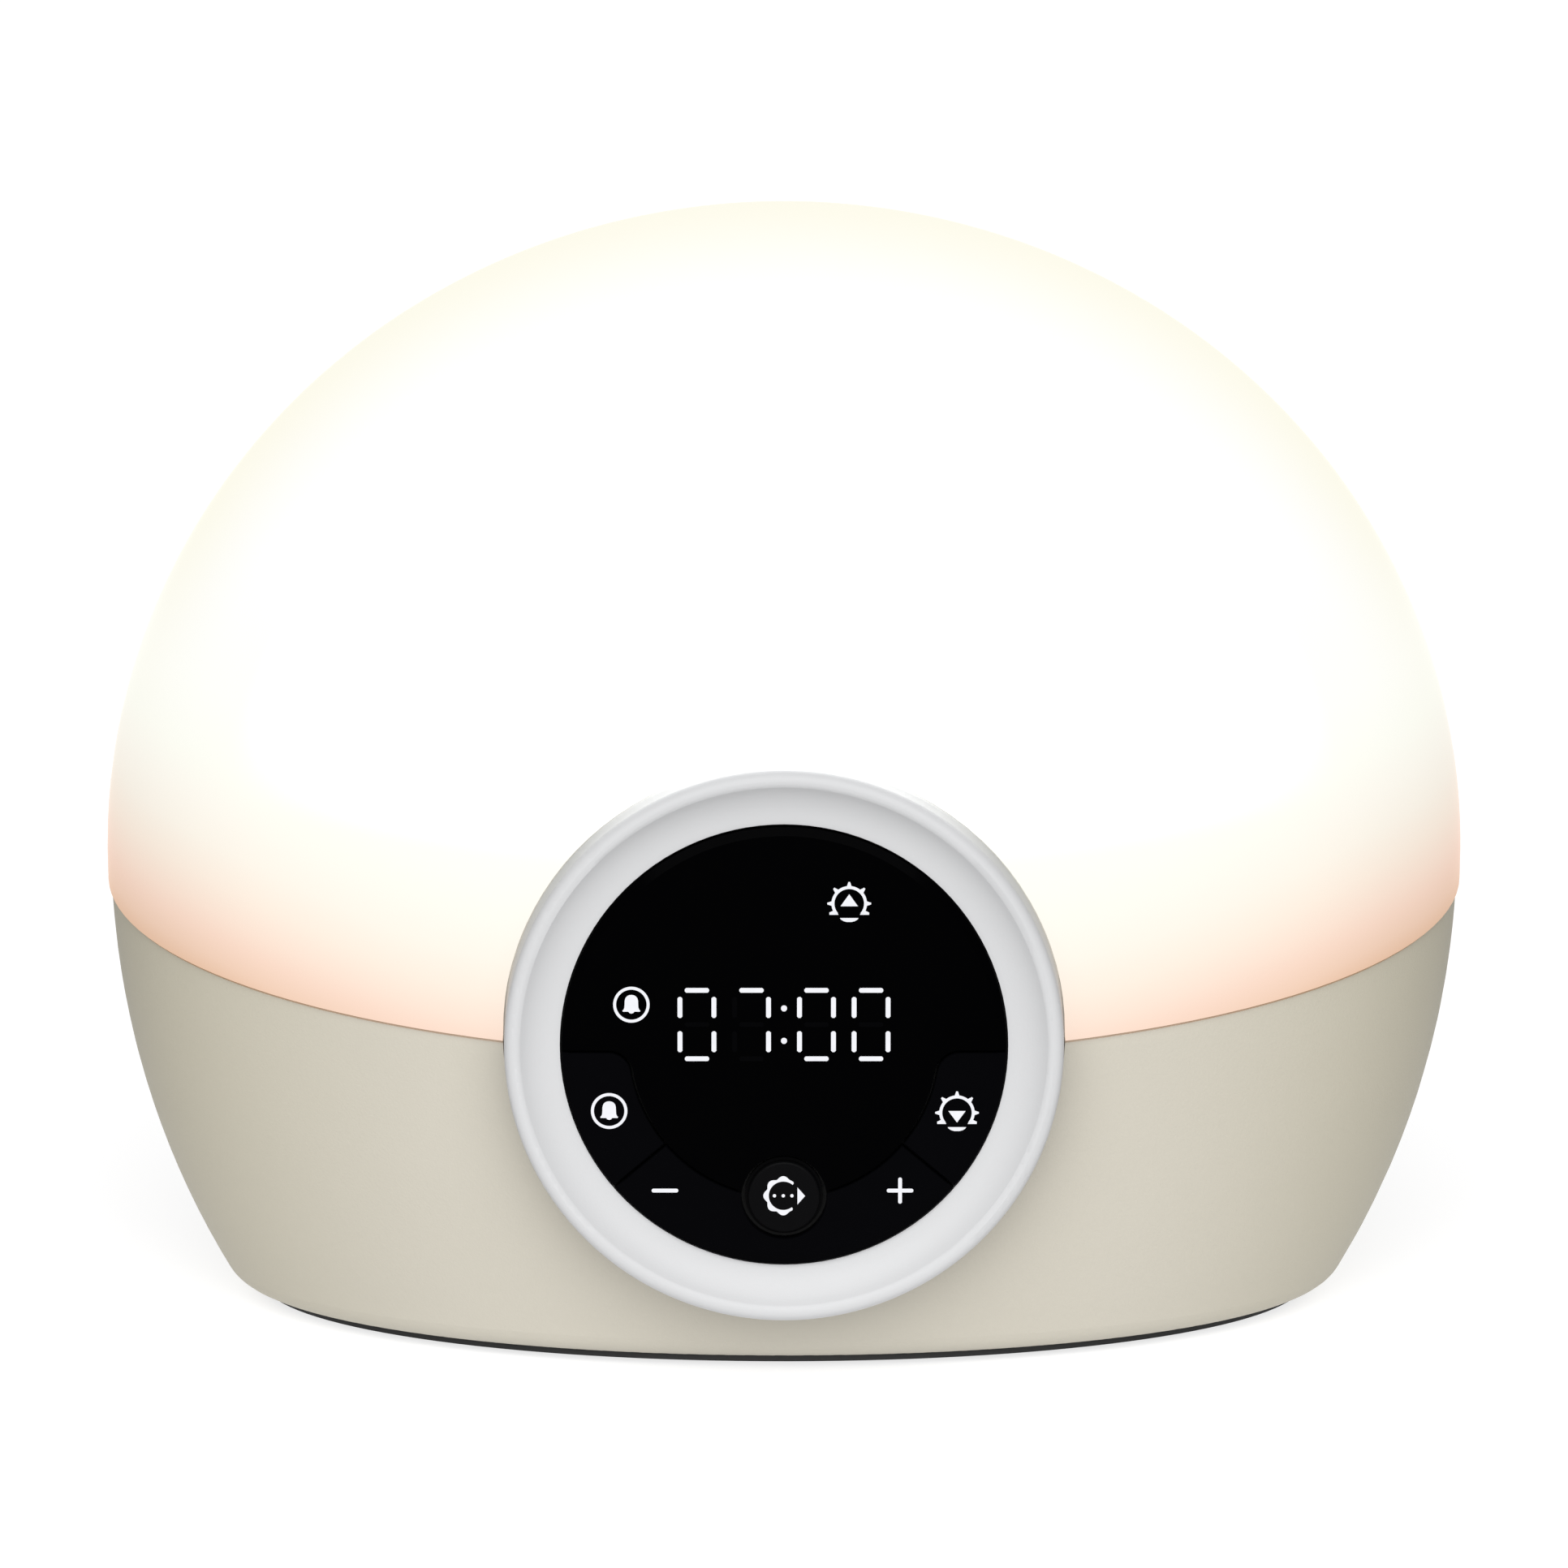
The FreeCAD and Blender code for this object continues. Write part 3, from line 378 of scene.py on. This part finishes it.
# %% Speaker, wires and small parts
wear(moulded("ferrite", grey(0.045), grey(0.08), 0.65, depth=0.00005), "inductor", "speaker_magnet")
wear(moulded("speaker_paper", grey(0.03), (0.07, 0.07, 0.065), 0.85, depth=0.00008, scale=900.0),
     "speaker_cone")
wear(moulded("speaker_steel", grey(0.09), grey(0.14), 0.4), "speaker_frame")
wear(moulded("wire_red", (0.36, 0.02, 0.015), (0.46, 0.035, 0.025), 0.45), "panel_wires", "led_wires")
wear(moulded("wire_black", grey(0.015), grey(0.03), 0.45), "speaker_wires")
wear(moulded("capacitor_sleeve", (0.03, 0.03, 0.06), (0.05, 0.05, 0.10), 0.3), "capacitors")
wear(moulded("board_green", (0.012, 0.11, 0.045), (0.025, 0.18, 0.08), 0.3, scale=600.0),
     "panel_pcb", "power_pcb")
wear(moulded("led_chip", (0.8, 0.8, 0.74), (0.92, 0.92, 0.86), 0.35), "segment_leds")
wear(moulded("clear_pipe", (0.80, 0.84, 0.86), (0.90, 0.93, 0.95), 0.10, IOR=1.49),
     "indicator_light_pipes")

# %% [markdown]
# Bare metal is brushed or plated. Stretching the noise along one axis turns specks into brush lines.

# %% Metals
def metal(name, dark, light, rough, stretch=(1.0, 1.0, 1.0)):
    finish = Finish(name, Metallic=1.0)
    laid = finish.node("ShaderNodeMapping", inputs={"Vector": finish.place(), "Scale": stretch})
    brush = finish.node("ShaderNodeTexNoise", inputs={"Vector": laid, "Scale": 1500.0, "Detail": 3.0})
    finish.feed("Base Color", finish.mix(brush, dark, light))
    finish.feed("Roughness", brush * 0.2 + rough)
    finish.bump(brush, depth=0.00001)
    return finish


BRUSHED_ALONG_X = (0.05, 1.0, 1.0)
wear(metal("steel", (0.48, 0.48, 0.49), (0.62, 0.62, 0.63), 0.25),
     "rocker_pivot_pin", "carrier_screws", "panel_pcb_screws", "deck_screws", "power_pcb_screws",
     "bezel_screws", "rear_cover_screws", "bottom_plate_screws")
wear(metal("aluminium", (0.68, 0.68, 0.69), (0.80, 0.80, 0.81), 0.3, BRUSHED_ALONG_X), "heat_spreader")
wear(metal("jack_pin", (0.62, 0.61, 0.58), (0.74, 0.73, 0.70), 0.2), "dc_jack_pin")

# %% [markdown]
# The lamps on the board are white chips under a yellow coat, which glows warm while the lamp is on.
# With them, every solid has a finish, and the list that is printed should be empty.

# %% The lamps
phosphor = moulded("led_phosphor", (0.85, 0.66, 0.20), (0.95, 0.80, 0.34), 0.4, Emission_Strength=1.5)
warm = phosphor.mix(phosphor.grain(900.0), srgb(255, 214, 140), srgb(255, 232, 180))
phosphor.feed("Emission Color", warm)
wear(phosphor, "leds")
print("solids without a finish:", sorted(set(nodes) - set(finished)))

# %% [markdown]
# The marks on the disc are thin windows that let white light through. Each is drawn flat, in
# millimetres round its own centre, as filled outlines and as lines with a width, and then given a
# little thickness just in front of the black face. One mesh is made for each piece that moves.
# The drawing tools come first: an arc, a full circle, a mirrored half, and a line with a width.

# %% Arcs and lines
PER_METRE = 1000
PANEL_Z = 50.33
FACE_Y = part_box("display_lens")[0].y * PER_METRE
STROKE = 0.42


def arc(radius, start, stop, steps, centre=(0.0, 0.0)):
    """Points along an arc, its ends in degrees."""
    turns = [math.radians(start + (stop - start) * i / steps) for i in range(steps + 1)]
    return [(centre[0] + radius * math.cos(turn), centre[1] + radius * math.sin(turn)) for turn in turns]


def circle(radius, steps, centre=(0.0, 0.0)):
    return arc(radius, 0, 360, steps, centre)[:-1]


def mirrored(points):
    """The same points on the other side, in the order that carries an outline on."""
    return [(-px, pz) for px, pz in reversed(points)]


def line(points, width, closed=False):
    """A line with a width, as a strip of four-sided outlines."""
    count = len(points)
    left, right = [], []
    for i, (px, pz) in enumerate(points):
        before = points[i - 1] if (i or closed) else points[i]
        after = points[(i + 1) % count] if (i + 1 < count or closed) else points[i]
        along = Vector((after[0] - before[0], after[1] - before[1])).normalized()
        left.append((px - along.y * width / 2, pz + along.x * width / 2))
        right.append((px + along.y * width / 2, pz - along.x * width / 2))
    last = count if closed else count - 1
    return [[left[i], left[(i + 1) % count], right[(i + 1) % count], right[i]] for i in range(last)]


print("black face at y =", round(FACE_Y, 3), "mm")

# %% [markdown]
# The alarm mark is a bell in a ring. Half a bell is drawn and mirrored, so that both sides match.

# %% The alarm mark
def bell():
    """A bell with its clapper, as one filled outline."""
    half = [(0.0, 1.40), (0.35, 1.35), (0.64, 1.19), (0.85, 0.92), (0.94, 0.55), (0.96, 0.0),
            (0.99, -0.45), (1.10, -0.70), (1.25, -0.86), (1.21, -1.00), (0.44, -1.00), (0.26, -1.20),
            (0.0, -1.28)]
    return [half + mirrored(half[1:-1])]


def alarm_mark():
    return line(circle(2.36, 72), STROKE, closed=True) + bell()


print("outlines in the alarm mark:", len(alarm_mark()))

# %% [markdown]
# The two sun marks share a shape: an open ring on two feet, with the lower rim of a sun and an
# arrowhead, which points up in the wake-up mark and down in the light mark.

# %% The sun marks
ARROW_UP = [(-1.22, -0.38), (0.0, 1.34), (1.22, -0.38)]
ARROW_DOWN = [(-1.22, 0.26), (0.0, -1.40), (1.22, 0.26)]


def sun_mark(arrow):
    """A rising or setting sun: an open ring, two feet, the sun's lower rim and an arrowhead."""
    foot = [(1.50, -1.60), (2.78, -1.60), (2.80, -1.28), (2.20, -1.00), (1.86, -1.00)]
    rim = [(1.30, -2.06), (1.16, -2.28), (0.80, -2.50), (0.35, -2.62)]
    ring = line(arc(2.29, -40, 220, 64), STROKE)
    feet = [[(side * px, pz) for px, pz in foot] for side in (-1, 1)]
    return ring + feet + [rim + mirrored(rim), arrow]


print("outlines in a sun mark:", len(sun_mark(ARROW_UP)))

# %% [markdown]
# The snooze mark is a scalloped ring that opens toward an arrowhead, with three dots inside. Its
# outer edge swells with a cosine, eight times in a full turn, and thins toward both ends.

# %% The snooze mark
def snooze_mark():
    """A scalloped ring with a smooth inner edge, open toward an arrowhead, and three dots."""
    first, last, slices, taper = 50, 306, 128, 8
    inner_edge, outer_edge, swell, lobe_height = 2.05, 2.10, 0.34, 0.38
    rows = []
    for i in range(slices + 1):
        degrees = first + (last - first) * i / slices
        turn = math.radians(degrees)
        lobed = 67.5 < degrees < 292.5
        lobe = (1 + math.cos(8 * math.radians(degrees - 90))) / 2 if lobed else 0.0
        thin = min(1.0, 0.5 + min(degrees - first, last - degrees) / taper)
        outer = outer_edge + swell * thin + lobe_height * lobe ** 0.7
        rows.append([(reach * math.cos(turn), reach * math.sin(turn)) for reach in (inner_edge, outer)])
    shapes = [[near, far, next_far, next_near]
              for (near, far), (next_near, next_far) in zip(rows, rows[1:])]
    shapes.append([(2.00, 1.20), (3.08, -0.03), (2.00, -1.26)])
    return shapes + [circle(0.24, 20, (dot, 0.0)) for dot in (-1.25, 0.0, 1.22)]


print("outlines in the snooze mark:", len(snooze_mark()))

# %% [markdown]
# Minus and plus are bars with round ends. One outline visits each arm in turn; between two arms of
# the plus it steps through the inner corner, so the cross stays one piece with no overlap.

# %% Minus and plus
ACROSS = (0, 180)
ALL_ROUND = (0, 90, 180, 270)


def cross_bars(arms):
    """A bar or a cross with round ends: one outline that visits each arm in turn."""
    half_length, thickness = 1.88, 0.55
    half_thick = thickness / 2
    outline = []
    for degrees in arms:
        turn = math.radians(degrees)
        tip = ((half_length - half_thick) * math.cos(turn), (half_length - half_thick) * math.sin(turn))
        outline += arc(half_thick, degrees - 90, degrees + 90, 12, tip)
        if arms == ALL_ROUND:
            corner = math.radians(degrees + 45)
            reach = half_thick * math.sqrt(2)
            outline.append((reach * math.cos(corner), reach * math.sin(corner)))
    return [outline]


print("points round the plus:", len(cross_bars(ALL_ROUND)[0]))

# %% [markdown]
# Every outline becomes a thin prism: a front face just before the black disc, a back face just behind
# its surface, and sides between them. Neighbouring prisms share their edges once doubled points are
# merged, and the faces are then turned to point outward.

# %% From outlines to a piece
MARK_FRONT = 0.03
MARK_BACK = 0.01


def put_in_scene(name, data, body):
    """Link a finished mesh, and let it move with its body."""
    piece = bpy.data.objects.new(name, data)
    scene.collection.objects.link(piece)
    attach(piece, body)
    print(name, "faces:", len(data.polygons))


def make_mark(name, body, placed_shapes):
    """One mesh from outlines at their places, thin and just in front of the face."""
    mesh = bmesh.new()
    front_y = (FACE_Y - MARK_FRONT) / PER_METRE
    back_y = (FACE_Y + MARK_BACK) / PER_METRE
    for (cx, cz), shapes in placed_shapes:
        for outline in shapes:
            front = [mesh.verts.new(((cx + px) / PER_METRE, front_y, (PANEL_Z + cz + pz) / PER_METRE))
                     for px, pz in outline]
            back = [mesh.verts.new((v.co.x, back_y, v.co.z)) for v in front]
            mesh.faces.new(front)
            mesh.faces.new(list(reversed(back)))
            for i in range(len(front)):
                j = (i + 1) % len(front)
                mesh.faces.new((front[i], back[i], back[j], front[j]))
    bmesh.ops.remove_doubles(mesh, verts=mesh.verts, dist=1e-7)
    bmesh.ops.recalc_face_normals(mesh, faces=mesh.faces)
    data = bpy.data.meshes.new(name)
    mesh.to_mesh(data)
    mesh.free()
    data.materials.append(lit.material)
    put_in_scene(name, data, body)

# %% [markdown]
# The rays of the two suns repeat round an arc, which is work for Geometry Nodes: a tree that puts
# one small tapered ray on each point of an arc and turns it outward. Its sizes are named inputs, in
# metres.

# %% The inputs of the ray tree
RAY_VERTICES = 12
RAY_FLATNESS = 0.08
RAY_SIZES = {
    "Count": ("NodeSocketInt", 5),
    "Radius": ("NodeSocketFloat", 0.00242),
    "Spread": ("NodeSocketFloat", math.pi),
    "Length": ("NodeSocketFloat", 0.00066),
    "Width": ("NodeSocketFloat", 0.00034),
    "Tip": ("NodeSocketFloat", 0.00012),
}
tree = bpy.data.node_groups.new("sun_rays", "GeometryNodeTree")
for label, (kind, value) in RAY_SIZES.items():
    tree.interface.new_socket(label, in_out="INPUT", socket_type=kind).default_value = value
tree.interface.new_socket("Paint", in_out="INPUT", socket_type="NodeSocketMaterial")
tree.interface.new_socket("Geometry", in_out="OUTPUT", socket_type="NodeSocketGeometry")


def add(kind, settings=None, inputs=None):
    """A new node in the ray tree: its settings first, then the values or links of its sockets."""
    made = tree.nodes.new(kind)
    for key, value in (settings or {}).items():
        setattr(made, key, value)
    for key, value in (inputs or {}).items():
        if isinstance(value, bpy.types.NodeSocket):
            tree.links.new(value, made.inputs[key])
        else:
            made.inputs[key].default_value = value
    return made


print("inputs of the ray tree:", ", ".join(RAY_SIZES))

# %% [markdown]
# The share of the spread that a point has reached gives its angle, and the angle's cosine and sine
# point outward. A ray stands on every point, turned to that direction, and the whole fan is pressed
# flat at the end.

# %% Rays by Geometry Nodes
given = tree.nodes.new("NodeGroupInput").outputs
ray = add("GeometryNodeMeshCone", inputs={"Vertices": RAY_VERTICES, "Radius Top": given["Tip"],
                                          "Radius Bottom": given["Width"], "Depth": given["Length"]})
points = add("GeometryNodePoints", inputs={"Count": given["Count"]})
index = add("GeometryNodeInputIndex").outputs[0]
gaps = add("ShaderNodeMath", {"operation": "SUBTRACT"}, {0: given["Count"], 1: 1.0}).outputs[0]
share = add("ShaderNodeMath", {"operation": "DIVIDE"}, {0: index, 1: gaps}).outputs[0]
angle = add("ShaderNodeMath", {"operation": "MULTIPLY"}, {0: share, 1: given["Spread"]}).outputs[0]
cosine = add("ShaderNodeMath", {"operation": "COSINE"}, {0: angle}).outputs[0]
sine = add("ShaderNodeMath", {"operation": "SINE"}, {0: angle}).outputs[0]
outward = add("ShaderNodeCombineXYZ", inputs={"X": cosine, "Z": sine}).outputs[0]
spot = add("ShaderNodeVectorMath", {"operation": "SCALE"},
           {0: outward, "Scale": given["Radius"]}).outputs[0]
moved = add("GeometryNodeSetPosition", inputs={"Geometry": points.outputs[0], "Position": spot})
aim = add("FunctionNodeAlignRotationToVector", {"axis": "Z"}, {"Vector": outward}).outputs[0]
placed = add("GeometryNodeInstanceOnPoints",
             inputs={"Points": moved.outputs[0], "Instance": ray.outputs[0], "Rotation": aim})
real = add("GeometryNodeRealizeInstances", inputs={0: placed.outputs[0]})
flat = add("GeometryNodeTransform", inputs={0: real.outputs[0], "Scale": (1.0, RAY_FLATNESS, 1.0)})
painted = add("GeometryNodeSetMaterial", inputs={"Geometry": flat.outputs[0], "Material": given["Paint"]})
tree.links.new(painted.outputs[0], tree.nodes.new("NodeGroupOutput").inputs[0])
print("nodes in the ray tree:", len(tree.nodes))

# %% [markdown]
# A modifier runs the tree. Its inputs are set by identifier before it is first worked out, and the
# result is kept as a plain mesh, moved to its place, so nothing live is left on the piece.

# %% Run the ray tree
RAY_FRONT = 0.01


def sun_rays(name, body, cx, cz):
    """Run the tree once and keep the result as a plain mesh."""
    carrier = bpy.data.objects.new("ray_maker", bpy.data.meshes.new("ray_maker"))
    scene.collection.objects.link(carrier)
    maker = carrier.modifiers.new("rays", "NODES")
    maker.node_group = tree
    values = {label: value for label, (kind, value) in RAY_SIZES.items()}
    values["Paint"] = lit.material
    for item in tree.interface.items_tree:
        if item.in_out == "INPUT":
            maker[item.identifier] = values[item.name]
    bpy.context.view_layer.update()
    made = bpy.data.meshes.new_from_object(carrier.evaluated_get(bpy.context.evaluated_depsgraph_get()))
    bpy.data.objects.remove(carrier)
    centre = Vector((cx / PER_METRE, (FACE_Y - RAY_FRONT) / PER_METRE, (PANEL_Z + cz) / PER_METRE))
    for vertex in made.vertices:
        vertex.co += centre
    made.name = name
    put_in_scene(name, made, body)

# %% [markdown]
# Now the marks go to their places on the disc, in millimetres from its centre. The marks of a key go
# on that key's body, so that they sink with it when it is pressed.

# %% The marks in place
ALARM_LAMP = (-21.47, 6.05)
ALARM_KEY = (-24.64, -9.2)
SUN_UP = (9.16, 20.50)
LIGHT_KEY = (24.38, -9.46)
MINUS = (-16.80, -20.65)
PLUS = (16.38, -20.65)
SNOOZE = (-0.1, -21.4)
make_mark("indicator_marks", "clock_body", [(ALARM_LAMP, alarm_mark()), (SUN_UP, sun_mark(ARROW_UP))])
make_mark("alarm_key_mark", "alarm_key_body", [(ALARM_KEY, alarm_mark())])
make_mark("light_key_mark", "light_key_body", [(LIGHT_KEY, sun_mark(ARROW_DOWN))])
make_mark("rocker_marks", "rocker_body", [(MINUS, cross_bars(ACROSS)), (PLUS, cross_bars(ALL_ROUND))])
make_mark("snooze_mark", "snooze_body", [(SNOOZE, snooze_mark())])
sun_rays("indicator_rays", "clock_body", *SUN_UP)
sun_rays("light_key_rays", "light_key_body", *LIGHT_KEY)

# %% [markdown]
# A plain studio, as if the lamp stood on paper lit from below. The floor glows where the picture
# sees it, because a lit white surround is brighter than a floor that only reflects, and its light
# also reaches the underside of the base. Outside that it fades, with soft edges, to a pale grey.
# Right under the lamp the glow is left out, a painted shadow, so the thin black line of the base plate
# can be read.

# %% The lit floor
FLOOR_SIZE = 40.0
FLOOR_GLOW = 0.75
LEAST_GLOW = 0.25
VIEW_SPREAD = 0.0835
SHADE_HALF_WIDTH = 0.0700
SHADE_HALF_DEPTH = 0.0485

bpy.ops.mesh.primitive_plane_add(size=FLOOR_SIZE)
floor = bpy.context.object
floor.name = "studio_floor"
pale = Finish("pale_floor", Roughness=0.9, Specular_IOR_Level=0.0, Emission_Strength=FLOOR_GLOW)
floor_x, floor_y = pale.xyz()[:2]
aside = abs(floor_x) - floor_y * VIEW_SPREAD
in_view = (1 - aside.ramp01(0.118, 0.270)) * floor_y.ramp01(-0.34, -0.16)
lit_paper = in_view * (1 - LEAST_GLOW) + LEAST_GLOW
# Painted shadow: inside this ellipse under the lamp the floor gets no glow.
shade_x = floor_x / SHADE_HALF_WIDTH
shade_y = (floor_y - EGG_Y) / SHADE_HALF_DEPTH
lit_paper = lit_paper * (shade_x * shade_x + shade_y * shade_y).ramp01(0.97, 1.03)
pale.feed("Base Color", pale.mix(pale.grain(0.4), grey(0.36), grey(0.38)))
pale.feed("Emission Color", pale.mix(lit_paper, BLACK, grey(1.0)))
floor.data.materials.append(pale.material)
print("floor:", FLOOR_SIZE, "m wide")

# %% [markdown]
# The surround gives an even, weak light, and one very broad sun shines from above the camera. Being
# broad, it has no hard shadow, and it leaves the flanks of the base a little darker than the front.

# %% Surround and light
SURROUND = 0.20
SUN_DIRECTION = (0.0, 0.84, -0.54)

world = bpy.data.worlds.new("surround")
scene.world = world
world.use_nodes = True
background = world.node_tree.nodes["Background"]
background.inputs["Color"].default_value = (1.0, 1.0, 1.0, 1.0)
background.inputs["Strength"].default_value = SURROUND

sun = bpy.data.lights.new("soft_front", "SUN")
sun.energy = 4.2
sun.angle = math.radians(60)
lamp = bpy.data.objects.new("soft_front", sun)
scene.collection.objects.link(lamp)
lamp.rotation_euler = Vector(SUN_DIRECTION).to_track_quat("-Z", "Y").to_euler()
scene.view_settings.view_transform = "Standard"
scene.view_settings.look = "None"
print("sun:", round(sun.energy, 2), "over", round(math.degrees(sun.angle)), "degrees")

# %% [markdown]
# The camera stands where the picture was taken: straight in front, a little above, far away with a
# long lens, so that the egg shows almost no perspective.

# %% Camera
AWAY = 1.400
RISE = math.radians(9.337)
AIM_Z = 0.080
SENSOR = 36.0
PICTURE = 1932
FOCAL_PIXELS = 11672.5
TIPPED_DOWN_PIXELS = 35.15

camera_data = bpy.data.cameras.new("front_view")
camera_data.sensor_width = SENSOR
camera_data.lens = FOCAL_PIXELS * SENSOR / PICTURE
camera = bpy.data.objects.new("front_view", camera_data)
scene.collection.objects.link(camera)
camera.location = (0.0, EGG_Y - AWAY * math.cos(RISE), AIM_Z + AWAY * math.sin(RISE))
camera.rotation_euler = (math.radians(90) - RISE - TIPPED_DOWN_PIXELS / FOCAL_PIXELS, 0.0, 0.0)
scene.camera = camera
print("lens mm:", round(camera_data.lens, 1))
